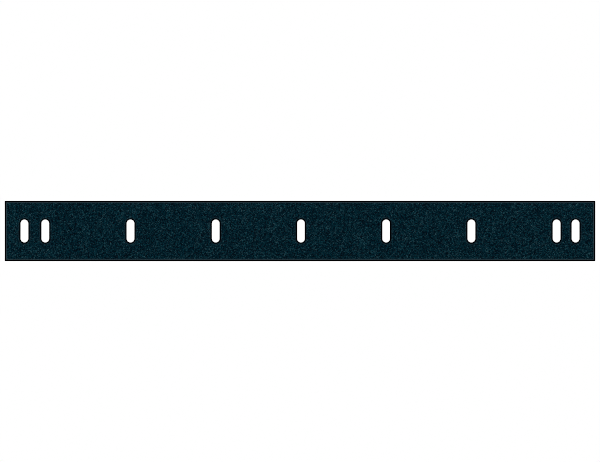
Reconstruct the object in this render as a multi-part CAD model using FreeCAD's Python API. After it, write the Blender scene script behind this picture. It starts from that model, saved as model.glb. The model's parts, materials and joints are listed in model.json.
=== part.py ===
import FreeCAD, Part
import os

# Cutting edge of a small snow plow: one flat steel bar that bolts along the foot of a curved blade.
# X runs along the bar, Z is up, and the front face looks towards -Y.
# The origin is the centre of the back face, which lies against the blade. Lengths are in millimetres.

# Flat bar
bar_length = 1244.6
bar_height = 127.0
bar_thickness = 6.35
corner_radius = 1.2     # the four corners, seen from the front
rim_round = 1.0         # rolled and sheared outer rims, front and back

# Bolt slots, upright and at mid-height
slot_width = 16.0
slot_length = 48.0
slot_roll = 0.8         # front rim, where the punch drew the face in
slot_break = 0.3        # back rim, filed after punching

# Places of the slots along the bar
row_count = 7
row_pitch = 179.6
row_shift = 2.0         # the evenly spaced row sits this far right of the bar's centre
end_slot_inset = 41.55  # from each end of the bar to the centre of its outermost slot

overshoot = 2.0         # how far a cutting tool runs past each face
front_y = -bar_thickness
back_y = 0.0
touching = 1e-4         # two coordinates nearer than this are the same


def slot_centres():
    # The evenly spaced row, with one more slot close to each end of the bar.
    middle = (row_count - 1) / 2.0
    row = [row_shift + row_pitch * (i - middle) for i in range(row_count)]
    end_x = bar_length / 2.0 - end_slot_inset
    return [-end_x] + row + [end_x]


def blank():
    # The bar before punching, with its four corners slightly rounded.
    corner = FreeCAD.Vector(-bar_length / 2.0, front_y, -bar_height / 2.0)
    box = Part.makeBox(bar_length, bar_thickness, bar_height, corner)
    across = [e for e in box.Edges if abs(e.tangentAt(e.FirstParameter).y) > 0.5]
    return box.makeFillet(corner_radius, across)


def slot_tool(centre_x):
    # A straight-sided slot with a half-round at its top and bottom, carried through the bar.
    radius = slot_width / 2.0
    straight = slot_length / 2.0 - radius
    y = front_y - overshoot

    def point(dx, dz):
        return FreeCAD.Vector(centre_x + dx, y, dz)

    outline = Part.Wire([
        Part.LineSegment(point(-radius, -straight), point(-radius, straight)).toShape(),
        Part.Arc(point(-radius, straight), point(0, straight + radius), point(radius, straight)).toShape(),
        Part.LineSegment(point(radius, straight), point(radius, -straight)).toShape(),
        Part.Arc(point(radius, -straight), point(0, -straight - radius), point(-radius, -straight)).toShape(),
    ])
    depth = bar_thickness + 2.0 * overshoot
    return Part.Face(outline).extrude(FreeCAD.Vector(0, depth, 0))


def punched(plate):
    for centre_x in slot_centres():
        plate = plate.cut(slot_tool(centre_x))
    return plate.Solids[0]


def edges_on_face(plate, y, of_slots):
    # Rim edges lying on the face at this Y, either those of the slots or those round the outside.
    found = []
    for edge in plate.Edges:
        box = edge.BoundBox
        flat = abs(box.YMin - y) < touching and abs(box.YMax - y) < touching
        inside = max(abs(box.ZMin), abs(box.ZMax)) < slot_length / 2.0 + touching
        inside = inside and max(abs(box.XMin), abs(box.XMax)) < bar_length / 2.0 - slot_width
        if flat and inside == of_slots:
            found.append(edge)
    return found


def rims_finished(plate):
    plate = plate.makeFillet(rim_round, edges_on_face(plate, front_y, False))
    plate = plate.makeFillet(rim_round, edges_on_face(plate, back_y, False))
    plate = plate.makeFillet(slot_roll, edges_on_face(plate, front_y, True))
    return plate.makeChamfer(slot_break, edges_on_face(plate, back_y, True))


def cutting_edge():
    return rims_finished(punched(blank())).Solids[0]


def main():
    os.makedirs("parts", exist_ok=True)
    plate = cutting_edge()
    box = plate.BoundBox
    print("cutting_edge", plate.ShapeType, "valid", plate.isValid(), "solids", len(plate.Solids))
    print("size", round(box.XLength, 3), round(box.YLength, 3), round(box.ZLength, 3))
    print("slot centres", [round(x, 2) for x in slot_centres()])
    plate.exportStep("parts/cutting_edge.step")


main()
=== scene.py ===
import json
import math

import bmesh
import bpy
import numpy as np
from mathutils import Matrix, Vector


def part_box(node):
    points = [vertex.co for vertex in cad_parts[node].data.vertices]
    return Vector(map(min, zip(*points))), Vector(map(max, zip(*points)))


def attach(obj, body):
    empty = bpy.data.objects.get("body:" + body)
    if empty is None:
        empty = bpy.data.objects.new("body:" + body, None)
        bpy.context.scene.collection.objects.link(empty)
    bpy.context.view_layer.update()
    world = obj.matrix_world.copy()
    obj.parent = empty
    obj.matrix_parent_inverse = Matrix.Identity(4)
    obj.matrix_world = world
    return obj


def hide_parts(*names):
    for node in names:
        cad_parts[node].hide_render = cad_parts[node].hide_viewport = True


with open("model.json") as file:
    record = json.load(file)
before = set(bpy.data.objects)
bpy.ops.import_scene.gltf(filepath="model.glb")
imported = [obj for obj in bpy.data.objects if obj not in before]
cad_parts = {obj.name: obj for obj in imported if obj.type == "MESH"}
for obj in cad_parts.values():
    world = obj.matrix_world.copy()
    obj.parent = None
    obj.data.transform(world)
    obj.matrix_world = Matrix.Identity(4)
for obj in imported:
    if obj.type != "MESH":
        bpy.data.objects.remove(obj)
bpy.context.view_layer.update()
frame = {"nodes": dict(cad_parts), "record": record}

print("frame loaded:", sorted(frame["nodes"]))

scene = bpy.context.scene
barLow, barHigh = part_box("cutting_edge")
barMiddle = (barLow + barHigh) / 2
halfLength = (barHigh.x - barLow.x) / 2
halfHeight = (barHigh.z - barLow.z) / 2
thickness = barHigh.y - barLow.y


# Sizes in metres. The bar's corners and the places of its slots come from the frame.
barShape = {
    "quad": 0.0042,            # side of a quad on the open faces
    "fewestAcross": 6,         # quads across the narrowest panel
    "fieldRows": 16,           # rows of quads from a slot's collar to the border of its panel
    "fieldCrowding": 1.25,     # above 1, those rows are closer together near the slot
    "collarSteps": (0.0052, 0.0044, 0.0038, 0.0032, 0.0026, 0.0018, 0.0012),  # rings round every rim
    "paintedRimShade": 0.0026,        # width of the black band of painted edge shade along the outline
    "slotExtra": 0.0006,       # how much wider it is round a slot
    "cornerRadius": 0.0012,    # the bar's four corners
    "cornerSteps": 5,
    "rimRound": 0.0010,        # long edges rounded by rolling
    "rollWide": 0.0008,        # slot's front rim, drawn in by the punch
    "rollDeep": 0.0012,
    "rollSteps": 5,
    "landDepth": 0.0030,       # depth at which the clean punched wall ends and torn steel begins
    "breakOut": 0.00018,       # how much wider the slot is at the back
    "backBreak": 0.0003,       # back rim, filed
    "wallSteps": 7,
    "cornerAngle": 20.0,       # degrees up the slot's end arc where a panel's corner is joined to it
    "samePoint": 0.000002,     # points of two patches nearer than this are joined
    "sameRing": 1e-9,          # two offsets nearer than this are the same
}

# A set of waves is how many there are, the longest and the shortest.
barFinish = {
    "inset": 0.00012,          # the open faces lie this far inside the stock size
    "flatness": 0.00002,       # height of the rolling waves
    "flatWaves": (18, 0.5, 0.06),
    "beadHeight": 0.00006,     # paint gathers in a low ridge just inside every rim
    "beadPlace": 0.0037,
    "beadWidth": 0.0009,
    "drawDepth": 0.00008,      # the face dips towards each punched slot
    "drawWidth": 0.0016,
    "torn": 0.00003,           # roughness of the torn part of a wall
    "tornSlant": (3, -2),      # how its waves turn with depth
    "slotWaves": (16, 0.006, 0.0012),
    "endWaves": (16, 0.008, 0.0014),
    "edgeInset": 0.00010,      # the outer edges lie this far inside the stock size at mid-thickness
    "edgeBulge": 0.00010,      # and as much again at the rims, as rolled edges are a little full
    "edgeWander": 0.00003,     # height of the waves along them
    "edgeWaves": (10, 0.6, 0.12),
    "tornEnd": 0.00012,        # how far the torn part of a sheared end falls back
    "endZone": (0.001, 0.004), # the ends' finish fades out between these distances from the end
    "seeds": {"front": 11, "back": 12, "slots": 13, "ends": 14, "edges": 15},
}


def slotsOfFrame():
    found = []
    for mount in frame["record"]["mounts"]:
        sizes = mount["dims"]
        if "slot_length_mm" in sizes:
            radius = sizes["hole_r_mm"] / 1000
            reach = sizes["slot_length_mm"] / 2000 - radius
            x, _, z = mount["pos_m"]
            found.append({"x": x, "z": z, "radius": radius, "reach": reach})
    return sorted(found, key=lambda slot: slot["x"])


slots = slotsOfFrame()


def waves(x, z, wavesWanted, height, seed):
    # A sum of sine waves in random directions, each as high as its length allows, scaled to one height.
    count, longest, shortest = wavesWanted
    rng = np.random.default_rng(seed)
    length = np.geomspace(longest, shortest, count)
    heading = rng.uniform(0, 2 * np.pi, count)
    phase = rng.uniform(0, 2 * np.pi, count)
    turn = 2 * np.pi / length
    alongX = np.multiply.outer(x, turn * np.cos(heading))
    alongZ = np.multiply.outer(z, turn * np.sin(heading))
    share = length / np.sqrt((length ** 2).sum() / 2)
    return height * (np.sin(alongX + alongZ + phase) * share).sum(-1)


def smoothStep(value, low, high):
    # 0 below low and 1 above high, and between them three times the square less twice the cube.
    t = np.clip((value - low) / (high - low), 0, 1)
    return t * t * (3 - 2 * t)


def slotDistance(x, z):
    # From a point on the face to the nearest slot's wall: the way to its straight core, less its radius.
    centre = np.array([slot["x"] for slot in slots])
    middle = np.array([slot["z"] for slot in slots])
    reach = np.array([slot["reach"] for slot in slots])
    radius = np.array([slot["radius"] for slot in slots])
    along = np.maximum(np.abs(z[..., None] - middle) - reach, 0)
    return (np.hypot(x[..., None] - centre, along) - radius).min(-1)


def outlineDistance(x, z):
    # From a point on the face to the outline: the shorter of the ways to its nearest end and long edge.
    return np.minimum(halfLength - np.abs(x - barMiddle.x), halfHeight - np.abs(z - barMiddle.z))


def rimDistance(x, z):
    # To the nearest rim of either kind. A slot's is counted from a little way out, as its black is wider.
    return np.minimum(outlineDistance(x, z), slotDistance(x, z) - barShape["slotExtra"])


def faceRise(x, z, isFront):
    # How far the painted face stands out from its stock plane: rolling waves and the paint's ridge, less
    # the inset and, on the punched side, the dip round each slot.
    seed = barFinish["seeds"]["front" if isFront else "back"]
    rise = waves(x, z, barFinish["flatWaves"], barFinish["flatness"], seed) - barFinish["inset"]
    ridge = (rimDistance(x, z) - barFinish["beadPlace"]) / barFinish["beadWidth"]
    rise = rise + barFinish["beadHeight"] * np.exp(-ridge ** 2)
    if isFront:
        fromSlot = np.maximum(slotDistance(x, z), 0)
        rise = rise - barFinish["drawDepth"] * np.exp(-fromSlot / barFinish["drawWidth"])
    return rise


def panelsOfBar():
    # Each slot has a panel of the face round it. Panels meet midway between slots and stop at the collar.
    collar = barShape["collarSteps"][0]
    middles = [(a["x"] + b["x"]) / 2 for a, b in zip(slots, slots[1:])]
    borders = [barLow.x + collar] + middles + [barHigh.x - collar]
    made = []
    for slot, left, right in zip(slots, borders, borders[1:]):
        across = max(barShape["fewestAcross"], round((right - left) / barShape["quad"]))
        made.append({"slot": slot, "left": left, "right": right, "across": across})
    return made


panels = panelsOfBar()
panelHalf = halfHeight - barShape["collarSteps"][0]
panelUp = 2 * round(panelHalf / barShape["quad"])


def slotLoop(panel):
    # Once round a slot: the outward angle and the height of the slot's core at each point. A side of the
    # panel belongs to one straight wall and a little of the arc at each end, and its top and bottom to the
    # rest of the arcs.
    slot = panel["slot"]
    cut = math.radians(barShape["cornerAngle"])
    arc = cut * slot["radius"]
    travel = np.arange(panelUp) / panelUp * (2 * arc + 2 * slot["reach"])
    past = travel - arc
    sideAngle = np.clip(past, -arc, 0) / slot["radius"]
    sideAngle = sideAngle + np.clip(past - 2 * slot["reach"], 0, arc) / slot["radius"]
    sideCore = np.clip(past, 0, 2 * slot["reach"]) - slot["reach"]
    endAngle = cut + np.arange(panel["across"]) / panel["across"] * (np.pi - 2 * cut)
    endCore = np.full(panel["across"], slot["reach"])
    angle = np.concatenate([sideAngle, endAngle, sideAngle + np.pi, endAngle + np.pi])
    core = np.concatenate([sideCore, endCore, -sideCore, -endCore])
    return angle, core


def slotRings(panel, offset):
    # The slot's outline pushed out by each offset, as rows of points.
    angle, core = slotLoop(panel)
    reach = panel["slot"]["radius"] + offset
    x = panel["slot"]["x"] + reach * np.cos(angle)
    z = panel["slot"]["z"] + core + reach * np.sin(angle)
    return x, z


def panelBorder(panel):
    # The panel's rectangle in the same order as the slot's loop: up the right side, across the top to the
    # left, down the left side and back along the bottom.
    up = np.arange(panelUp) / panelUp
    across = np.arange(panel["across"]) / panel["across"]
    wide = panel["right"] - panel["left"]
    top, bottom = barMiddle.z + panelHalf, barMiddle.z - panelHalf
    x = np.concatenate([np.full(panelUp, panel["right"]), panel["right"] - wide * across,
                        np.full(panelUp, panel["left"]), panel["left"] + wide * across])
    z = np.concatenate([bottom + 2 * panelHalf * up, np.full(panel["across"], top),
                        top - 2 * panelHalf * up, np.full(panel["across"], bottom)])
    return x, z


def outlineRings(offset):
    # The bar's outline drawn in by each ring's offset, and the outward direction at each of its points. A
    # corner is an arc until the offset passes its radius, and a point from there on.
    radius = barShape["cornerRadius"]
    back = np.maximum(radius, offset)
    left = np.maximum(radius - offset, 0)
    alongX = np.concatenate([np.arange(p["across"]) / p["across"] * (p["right"] - p["left"]) + p["left"]
                             for p in panels])[1:] - barMiddle.x
    alongZ = (np.arange(1, panelUp) / panelUp * 2 - 1) * panelHalf
    stretchX = (halfLength - back) / (halfLength - barShape["collarSteps"][0])
    stretchZ = (halfHeight - back) / panelHalf
    turn = np.linspace(0, np.pi / 2, barShape["cornerSteps"] + 1)
    edgeX, edgeZ = np.ones_like(alongX), np.ones_like(alongZ)
    xs, zs, outX, outZ = [], [], [], []
    # Each quarter is an edge and the corner at its end, whose side along X and along Z is given.
    for quarter, (signX, signZ) in enumerate(((1, -1), (1, 1), (-1, 1), (-1, -1))):
        if quarter % 2 == 0:   # the bottom to the right, then the top to the left
            xs.append(stretchX * alongX[::signX])
            zs.append(signZ * (halfHeight - offset) * edgeX)
            outX.append(0 * edgeX)
            outZ.append(signZ * edgeX)
        else:                  # the right end upwards, then the left end downwards
            xs.append(signX * (halfLength - offset) * edgeZ)
            zs.append(stretchZ * alongZ[::signZ])
            outX.append(signX * edgeZ)
            outZ.append(0 * edgeZ)
        angle = (quarter - 1) * np.pi / 2 + turn
        xs.append(signX * (halfLength - back) + left * np.cos(angle))
        zs.append(signZ * (halfHeight - back) + left * np.sin(angle))
        outX.append(np.cos(angle))
        outZ.append(np.sin(angle))
    x = np.concatenate(xs, axis=1) + barMiddle.x
    z = np.concatenate(zs, axis=1) + barMiddle.z
    return x, z, np.concatenate(outX), np.concatenate(outZ)


def rimProfile(rollWide, rollDeep, backWide, backDeep):
    # Across a rim: in along the front face, round the front roll, down the wall, over the back break and
    # out again. Gives the offset from the wall and the depth below the front face at each ring, as columns.
    collar = np.array(barShape["collarSteps"])
    bend = np.linspace(0, np.pi / 2, barShape["rollSteps"] + 1)
    wall = np.linspace(rollDeep, thickness - backDeep, barShape["wallSteps"] + 1)[1:]
    offset = np.concatenate([collar, rollWide * (1 - np.sin(bend)), np.zeros(len(wall)),
                             backWide * (1 - np.cos(bend))[1:], collar[::-1]])
    depth = np.concatenate([np.zeros(len(collar)), rollDeep * (1 - np.cos(bend)), wall,
                            thickness - backDeep * (1 - np.sin(bend))[1:], np.full(len(collar), thickness)])
    return offset[:, None], depth[:, None]


def facesFollowed(x, z, depth):
    # The depth of each point turned into a place along Y, with each face's rise fading out down the wall.
    nearFront = 1 - smoothStep(depth, 0, barShape["rollDeep"])
    nearBack = smoothStep(depth, thickness - barShape["rollDeep"], thickness)
    return barLow.y + depth - faceRise(x, z, True) * nearFront + faceRise(x, z, False) * nearBack


def closedGrid(x, z, depth):
    # Rows of points that each close on themselves, with quads between neighbouring rows.
    rows, columns = x.shape
    here = np.arange(rows * columns).reshape(rows, columns)
    beside = np.roll(here, -1, axis=1)
    quads = np.stack([here[:-1], beside[:-1], beside[1:], here[1:]], axis=-1).reshape(-1, 4)
    return np.stack([x, facesFollowed(x, z, depth), z], axis=-1).reshape(-1, 3), quads


def tornWaves(along, across, depth, wavesWanted, seed):
    # Waves over a torn wall, whose places along it and across it shift with depth.
    slantAlong, slantAcross = barFinish["tornSlant"]
    along = along + slantAlong * depth
    across = across + slantAcross * depth
    return waves(along, across, wavesWanted, barFinish["torn"], seed)


def slotPatch(panel):
    # The rim profile carried round a slot. Past the clean land the wall opens out to the back, and is torn.
    offset, depth = rimProfile(barShape["rollWide"], barShape["rollDeep"], barShape["backBreak"],
                               barShape["backBreak"])
    x, z = slotRings(panel, offset)
    opened = smoothStep(depth, barShape["landDepth"], thickness)
    onWall = opened * (offset < barShape["rollWide"])
    tear = tornWaves(x, z, depth, barFinish["slotWaves"], barFinish["seeds"]["slots"])
    x, z = slotRings(panel, offset + onWall * (barShape["breakOut"] + tear))
    return closedGrid(x, z, depth), offset[:, 0]


def outlinePatch():
    # The rim profile carried round the outline. Its wall is drawn in by the inset, a bulge that grows with
    # the square of the way from mid-thickness, long waves and, towards the back of each end, a torn part.
    offset, depth = rimProfile(barShape["rimRound"], barShape["rimRound"], barShape["rimRound"],
                               barShape["rimRound"])
    x, z, outX, outZ = outlineRings(offset)
    onWall = np.clip(1 - offset / barShape["rimRound"], 0, 1)
    bulge = barFinish["edgeBulge"] * (2 * depth / thickness - 1) ** 2
    fromEnd = halfLength - np.abs(x - barMiddle.x)
    isEnd = 1 - smoothStep(fromEnd, *barFinish["endZone"])
    tornPart = smoothStep(depth, barShape["landDepth"], thickness) * isEnd
    tear = tornWaves(z, x, depth, barFinish["endWaves"], barFinish["seeds"]["ends"])
    wander = waves(x, z, barFinish["edgeWaves"], barFinish["edgeWander"], barFinish["seeds"]["edges"])
    drawn = onWall * (barFinish["edgeInset"] + bulge + wander + tornPart * (barFinish["tornEnd"] + tear))
    return closedGrid(x - drawn * outX, z - drawn * outZ, depth), offset[:, 0]


def fieldPatch(panel, isFront):
    # The open face of a panel: straight lines from the slot's collar to the panel's border.
    innerX, innerZ = slotRings(panel, barShape["collarSteps"][0])
    outerX, outerZ = panelBorder(panel)
    share = np.arange(barShape["fieldRows"] + 1) / barShape["fieldRows"]
    share = share[:, None] ** barShape["fieldCrowding"]
    x = innerX + (outerX - innerX) * share
    z = innerZ + (outerZ - innerZ) * share
    return closedGrid(x, z, np.full(x.shape, 0.0 if isFront else thickness))


def rimFinishes(offset, columns):
    # Both rings of a quad decide its finish: 2 on the wall, 1 on the rim and the black band of painted
    # shade, 0 past them.
    onRim = offset <= barShape["paintedRimShade"] + barShape["sameRing"]
    onWall = offset <= barShape["sameRing"]
    return np.repeat((onRim[:-1] & onRim[1:]) * 1 + (onWall[:-1] & onWall[1:]) * 1, columns)


def patchesOfBar():
    # Every patch as its points, its quads and the finish of each quad.
    patches = []
    for panel in panels:
        (points, quads), offset = slotPatch(panel)
        patches.append((points, quads, rimFinishes(offset, len(points) // len(offset))))
        for isFront in (True, False):
            points, quads = fieldPatch(panel, isFront)
            patches.append((points, quads, np.zeros(len(quads), int)))
    (points, quads), offset = outlinePatch()
    patches.append((points, quads, rimFinishes(offset, len(points) // len(offset))))
    return patches


def joinedMesh(patches):
    # One mesh of all the patches, joined where their borders meet, with its faces turned outwards.
    points, quads, finishes = zip(*patches)
    starts = np.cumsum([0] + [len(part) for part in points])
    quads = [part + start for part, start in zip(quads, starts)]
    mesh = bpy.data.meshes.new("cuttingEdgeBar")
    mesh.from_pydata(np.concatenate(points), [], np.concatenate(quads))
    mesh.polygons.foreach_set("material_index", np.concatenate(finishes).astype(np.int32))
    work = bmesh.new()
    work.from_mesh(mesh)
    bmesh.ops.remove_doubles(work, verts=work.verts, dist=barShape["samePoint"])
    bmesh.ops.recalc_face_normals(work, faces=work.faces)
    work.to_mesh(mesh)
    openEdges = sum(len(edge.link_faces) != 2 for edge in work.edges)
    work.free()
    mesh.polygons.foreach_set("use_smooth", np.ones(len(mesh.polygons), bool))
    print("bar built:", len(mesh.polygons), "faces,", openEdges, "open edges")
    return mesh


def addRimAttributes(mesh):
    # At each point, how far the nearest rim is, and 1 where that rim is a slot's.
    place = np.empty(len(mesh.vertices) * 3, np.float32)
    mesh.vertices.foreach_get("co", place)
    x, _, z = place.reshape(-1, 3).astype(float).T
    values = {"fromRim": rimDistance(x, z), "bySlot": slotDistance(x, z) < outlineDistance(x, z)}
    for name, value in values.items():
        attribute = mesh.attributes.new(name, "FLOAT", "POINT")
        attribute.data.foreach_set("value", value.astype(np.float32))


def buildBar():
    mesh = joinedMesh(patchesOfBar())
    addRimAttributes(mesh)
    piece = bpy.data.objects.new("bar_with_slots", mesh)
    scene.collection.objects.link(piece)
    return piece


speckledPaint = {
    "tones": (                 # from the darkest grain to the brightest
        (0.32, (0.0000, 0.0000, 0.0004)),
        (0.42, (0.0000, 0.0022, 0.0061)),
        (0.50, (0.0000, 0.0066, 0.0126)),
        (0.57, (0.0000, 0.0118, 0.0195)),
        (0.66, (0.0000, 0.0226, 0.0338)),
        (0.76, (0.0140, 0.0560, 0.0710)),
        (0.84, (0.0620, 0.1150, 0.1300)),
    ),
    "perMetre": (800, 1500, 420, 45),      # grains, finer grains, clouds and broad mottling
    "shares": (0.56, 0.08, 0.26, 0.10),    # what each of them adds to the tone
    "softness": 0.30,          # how far neighbouring grains run into one another
    "raggedGrain": 1300,       # per metre, the noise that makes the grains' edges uneven
    "raggedReach": 0.0016,
    "warm": (0.0240, 0.0150, 0.0220),      # a few grains are warmer
    "warmFrom": (0.84, 0.94),
    "warmShare": 0.20,
    "beadHighlight": (0.0230, 0.0390, 0.0480),      # painted highlight: the paint's ridge along a rim is thicker, and its colour is drawn paler as if the ridge caught the light
    "beadHighlightTones": (0.75, 1.25),             # of its own colour, from grain to grain
    "beadHighlightShares": (0.92, 0.22),            # along the outline, round a slot
    "beadHighlightBand": (0.0004, 0.0013),          # half its width, to the start and the end of its fade
    # the painted shade along every rim
    "black": (0.0001, 0.0003, 0.0008),
    "fade": (0.0024, 0.0030),  # where the painted black shade of the rim gives way to the speckle
    "fadeGrain": 700,          # per metre, the noise that makes that line uneven
    "fadeWander": 0.0010,
    "roughness": (0.62, 0.42), # from the darkest tone to the brightest
    "specular": 0.10,
    "tint": (0.05, 0.50, 0.85),
    "bump": (0.5, 0.00025),
}

# The black band and rounding along every rim is painted edge shade. Next to no reflection keeps it black.
paintedRimShade = {
    "colour": (0.0001, 0.0003, 0.0008),
    "darkest": 0.5,            # of that colour, between the grains
    "roughness": (0.50, 0.65),
    "specular": 0.01,
    "grain": (1400, 1400, 1400),           # per metre along X, Y and Z
    "bump": (0.4, 0.0002),
}

# The walls of the slots and the bar's own edges, where shearing left fine lines.
blackEdge = {
    "colour": (0.0040, 0.0058, 0.0072),
    "darkest": 0.5,
    "roughness": (0.36, 0.56),
    "specular": 0.22,
    "grain": (1500, 160, 1500),
    "bump": (0.5, 0.00025),
}

cloudDetail = 3.0              # octaves of the noises for tone and of those for wandering lines
lineDetail = 2.0
noiseSpan = (0.25, 0.75)       # nearly all of a noise's values lie between these
mixColours = (6, 7)            # the Mix node's two colour inputs, and its colour output
mixResult = 2


def newMaterial(name):
    material = bpy.data.materials.new(name)
    material.use_nodes = True
    tree = material.node_tree
    tree.nodes.clear()
    shader = tree.nodes.new("ShaderNodeBsdfPrincipled")
    output = tree.nodes.new("ShaderNodeOutputMaterial")
    tree.links.new(shader.outputs["BSDF"], output.inputs["Surface"])
    return material, tree, shader


def addNode(tree, kind, settings=None, **inputs):
    # A node with its settings, and each input linked to another node's output or set to a value. An input
    # is given by its name, or by i and its number.
    node = tree.nodes.new(kind)
    for name, value in (settings or {}).items():
        setattr(node, name, value)
    for name, value in inputs.items():
        isNumber = name[0] == "i" and name[1:].isdigit()
        socket = node.inputs[int(name[1:])] if isNumber else node.inputs[name]
        if isinstance(value, bpy.types.NodeSocket):
            tree.links.new(value, socket)
        else:
            socket.default_value = value
    return node


def mathNode(tree, operation, *values):
    inputs = {f"i{index}": value for index, value in enumerate(values)}
    return addNode(tree, "ShaderNodeMath", {"operation": operation}, **inputs).outputs[0]


def mixColour(tree, share, first, second):
    node = addNode(tree, "ShaderNodeMix", {"data_type": "RGBA"}, i0=share)
    for index, value in zip(mixColours, (first, second)):
        if isinstance(value, bpy.types.NodeSocket):
            tree.links.new(value, node.inputs[index])
        else:
            node.inputs[index].default_value = (*value, 1)
    return node.outputs[mixResult]


def stepNode(tree, value, low, high):
    settings = {"interpolation_type": "SMOOTHSTEP"}
    return addNode(tree, "ShaderNodeMapRange", settings, i0=value, i1=low, i2=high).outputs[0]


def noiseNode(tree, place, perMetre, detail):
    return addNode(tree, "ShaderNodeTexNoise", Vector=place, Scale=perMetre, Detail=detail)


def grainNode(tree, place, perMetre, softness=0.0):
    # Grains of one colour each, whose red and green are two random numbers. Soft ones run into one another.
    settings = {"feature": "SMOOTH_F1" if softness else "F1"}
    node = addNode(tree, "ShaderNodeTexVoronoi", settings, Vector=place, Scale=perMetre)
    if softness:
        node.inputs["Smoothness"].default_value = softness
    parts = addNode(tree, "ShaderNodeSeparateColor", i0=node.outputs["Color"])
    return parts.outputs[0], parts.outputs[1]


def raggedNode(tree, place, perMetre, reach):
    # The same place moved a little by a fine noise, so that grains drawn there get uneven edges.
    noise = noiseNode(tree, place, perMetre, lineDetail).outputs["Color"]
    settings = {"operation": "MULTIPLY_ADD"}
    return addNode(tree, "ShaderNodeVectorMath", settings, i0=noise, i1=(reach,) * 3, i2=place).outputs[0]


def bumpNode(tree, height, strength, distance, shader):
    bump = addNode(tree, "ShaderNodeBump", Strength=strength, Distance=distance, Height=height)
    tree.links.new(bump.outputs[0], shader.inputs["Normal"])


def roughnessNode(tree, value, atLow, atHigh, shader):
    low, high = noiseSpan
    rough = addNode(tree, "ShaderNodeMapRange", i0=value, i1=low, i2=high, i3=atLow, i4=atHigh)
    tree.links.new(rough.outputs[0], shader.inputs["Roughness"])


def toneRamp(tree, tone, tones):
    ramp = addNode(tree, "ShaderNodeValToRGB", Fac=tone)
    stops = ramp.color_ramp.elements
    for index, (where, colour) in enumerate(tones):
        stop = stops[index] if index < len(stops) else stops.new(where)
        stop.position = where
        stop.color = (*colour, 1)
    return ramp.outputs["Color"]


def speckleColour(tree, place, look):
    # Grains, finer grains, clouds and mottling added up to one tone, and a colour for each tone.
    perGrain, perFineGrain, perCloud, perMottle = look["perMetre"]
    ragged = raggedNode(tree, place, look["raggedGrain"], look["raggedReach"])
    grain, warmth = grainNode(tree, ragged, perGrain, look["softness"])
    fineGrain = grainNode(tree, ragged, perFineGrain)[0]
    cloud = noiseNode(tree, place, perCloud, cloudDetail).outputs["Fac"]
    mottle = noiseNode(tree, place, perMottle, cloudDetail).outputs["Fac"]
    tone = 0.0
    for layer, share in zip((grain, fineGrain, cloud, mottle), look["shares"]):
        tone = mathNode(tree, "MULTIPLY_ADD", layer, share, tone)
    isWarm = mathNode(tree, "MULTIPLY", stepNode(tree, warmth, *look["warmFrom"]), look["warmShare"])
    return mixColour(tree, isWarm, toneRamp(tree, tone, look["tones"]), look["warm"]), grain, tone


def makeSpeckledPaint(look):
    material, tree, shader = newMaterial("speckledPaint")
    place = addNode(tree, "ShaderNodeTexCoord").outputs["Object"]
    colour, grain, tone = speckleColour(tree, place, look)

    fromRim = addNode(tree, "ShaderNodeAttribute", {"attribute_name": "fromRim"}).outputs["Fac"]
    bySlot = addNode(tree, "ShaderNodeAttribute", {"attribute_name": "bySlot"}).outputs["Fac"]
    wander = noiseNode(tree, place, look["fadeGrain"], lineDetail).outputs["Fac"]
    wander = mathNode(tree, "MULTIPLY_ADD", wander, look["fadeWander"], -look["fadeWander"] / 2)
    fromRim = mathNode(tree, "ADD", fromRim, wander)
    # A paler line along the paint's ridge inside every rim is a painted highlight. It is stronger along the
    # outline than round a slot.
    fromBead = mathNode(tree, "ABSOLUTE", mathNode(tree, "SUBTRACT", fromRim, barFinish["beadPlace"]))
    atOutline, atSlot = look["beadHighlightShares"]
    highlightShare = mathNode(tree, "MULTIPLY_ADD", bySlot, atSlot - atOutline, atOutline)
    onBeadHighlight = mathNode(tree, "SUBTRACT", 1.0, stepNode(tree, fromBead, *look["beadHighlightBand"]))
    dimBeadHighlight, brightBeadHighlight = (tuple(level * part for part in look["beadHighlight"]) for level in look["beadHighlightTones"])
    beadHighlightColour = mixColour(tree, grain, dimBeadHighlight, brightBeadHighlight)
    colour = mixColour(tree, mathNode(tree, "MULTIPLY", onBeadHighlight, highlightShare), colour, beadHighlightColour)
    # Black along every rim, fading into the speckle, is painted edge shade.
    colour = mixColour(tree, stepNode(tree, fromRim, *look["fade"]), look["black"], colour)
    tree.links.new(colour, shader.inputs["Base Color"])

    roughnessNode(tree, tone, *look["roughness"], shader)
    bumpNode(tree, tone, *look["bump"], shader)
    shader.inputs["Specular IOR Level"].default_value = look["specular"]
    shader.inputs["Specular Tint"].default_value = (*look["tint"], 1)
    return material


def makeBlack(name, look):
    # Plain black over a fine grain, which may be longer one way than another: the place is scaled to
    # one grain per unit each way before the noise reads it. On the rims this black is painted edge shade;
    # on the walls it is their own colour.
    material, tree, shader = newMaterial(name)
    place = addNode(tree, "ShaderNodeTexCoord").outputs["Object"]
    place = addNode(tree, "ShaderNodeMapping", Vector=place, Scale=look["grain"]).outputs[0]
    grain = noiseNode(tree, place, 1.0, cloudDetail).outputs["Fac"]
    darkest = tuple(look["darkest"] * part for part in look["colour"])
    tree.links.new(mixColour(tree, grain, darkest, look["colour"]), shader.inputs["Base Color"])
    roughnessNode(tree, grain, *look["roughness"], shader)
    bumpNode(tree, grain, *look["bump"], shader)
    shader.inputs["Specular IOR Level"].default_value = look["specular"]
    return material


bar = buildBar()
# In the order of the finishes that rimFinishes numbers.
bar.data.materials.append(makeSpeckledPaint(speckledPaint))
bar.data.materials.append(makeBlack("paintedRimShade", paintedRimShade))
bar.data.materials.append(makeBlack("blackEdge", blackEdge))
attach(bar, "root")
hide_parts("cutting_edge")
print("bar painted")


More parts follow.
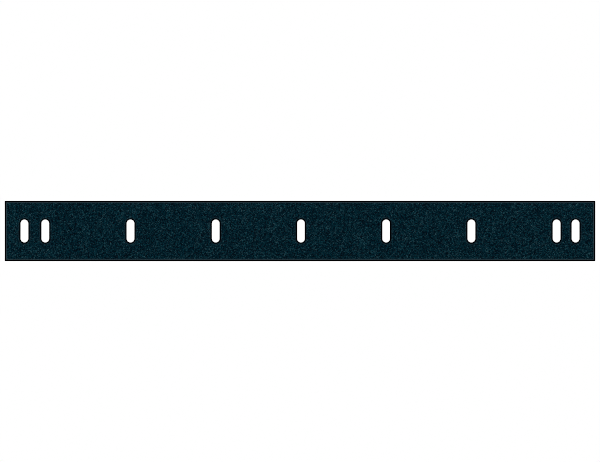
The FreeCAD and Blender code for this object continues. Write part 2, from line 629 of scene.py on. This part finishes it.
studio = {
    "floorSize": 40.0,         # metres
    "floorTone": 0.85,
    "floorRoughness": 0.9,
    "ambient": 0.25,
    "sunStrength": 3.2,
    "sunAngle": 50.0,          # degrees across: the larger, the softer the shadow
    "sunTilt": (20.0, 12.0),   # degrees from straight overhead, towards the front and to the left
    "frameWidth": 1.2645,      # metres across the picture
    "cameraAway": 3.0,         # metres in front of the bar
    "clip": (0.01, 100.0),     # metres, the nearest and the farthest that it sees
}


def makeFloor():
    half = studio["floorSize"] / 2
    mesh = bpy.data.meshes.new("studioFloor")
    corners = [(-half, -half), (half, -half), (half, half), (-half, half)]
    mesh.from_pydata([(x, y, barLow.z) for x, y in corners], [], [(0, 1, 2, 3)])
    floor = bpy.data.objects.new("studioFloor", mesh)
    scene.collection.objects.link(floor)
    material, tree, shader = newMaterial("studioFloor")
    tone = studio["floorTone"]
    shader.inputs["Base Color"].default_value = (tone, tone, tone, 1)
    shader.inputs["Roughness"].default_value = studio["floorRoughness"]
    shader.inputs["Specular IOR Level"].default_value = 0.0
    mesh.materials.append(material)


def makeBackground():
    # White where the camera sees it, and a dimmer even light on everything else.
    world = bpy.data.worlds.new("studioWorld")
    scene.world = world
    world.use_nodes = True
    tree = world.node_tree
    tree.nodes.clear()
    seen = addNode(tree, "ShaderNodeLightPath").outputs["Is Camera Ray"]
    ambient = studio["ambient"]
    strength = mathNode(tree, "MULTIPLY_ADD", seen, 1.0 - ambient, ambient)
    background = addNode(tree, "ShaderNodeBackground", Color=(1, 1, 1, 1), Strength=strength)
    output = tree.nodes.new("ShaderNodeOutputWorld")
    tree.links.new(background.outputs[0], output.inputs["Surface"])


def makeSun():
    sun = bpy.data.lights.new("overheadSoftbox", "SUN")
    sun.energy = studio["sunStrength"]
    sun.angle = math.radians(studio["sunAngle"])
    lamp = bpy.data.objects.new("overheadSoftbox", sun)
    scene.collection.objects.link(lamp)
    towardsFront, towardsLeft = studio["sunTilt"]
    lamp.rotation_euler = (math.radians(towardsFront), -math.radians(towardsLeft), 0)


def makeCamera():
    data = bpy.data.cameras.new("camera")
    data.type = "ORTHO"
    data.ortho_scale = studio["frameWidth"]
    data.clip_start, data.clip_end = studio["clip"]
    camera = bpy.data.objects.new("camera", data)
    scene.collection.objects.link(camera)
    camera.location = (barMiddle.x, barMiddle.y - studio["cameraAway"], barMiddle.z)
    camera.rotation_euler = (math.radians(90), 0, 0)  # looking along +Y
    scene.camera = camera


makeFloor()
makeBackground()
makeSun()
makeCamera()
scene.view_settings.view_transform = "Standard"
scene.cycles.pixel_filter_type = "BOX"  # keeps the thin black rims and the grain of the paint crisp
print("studio set")
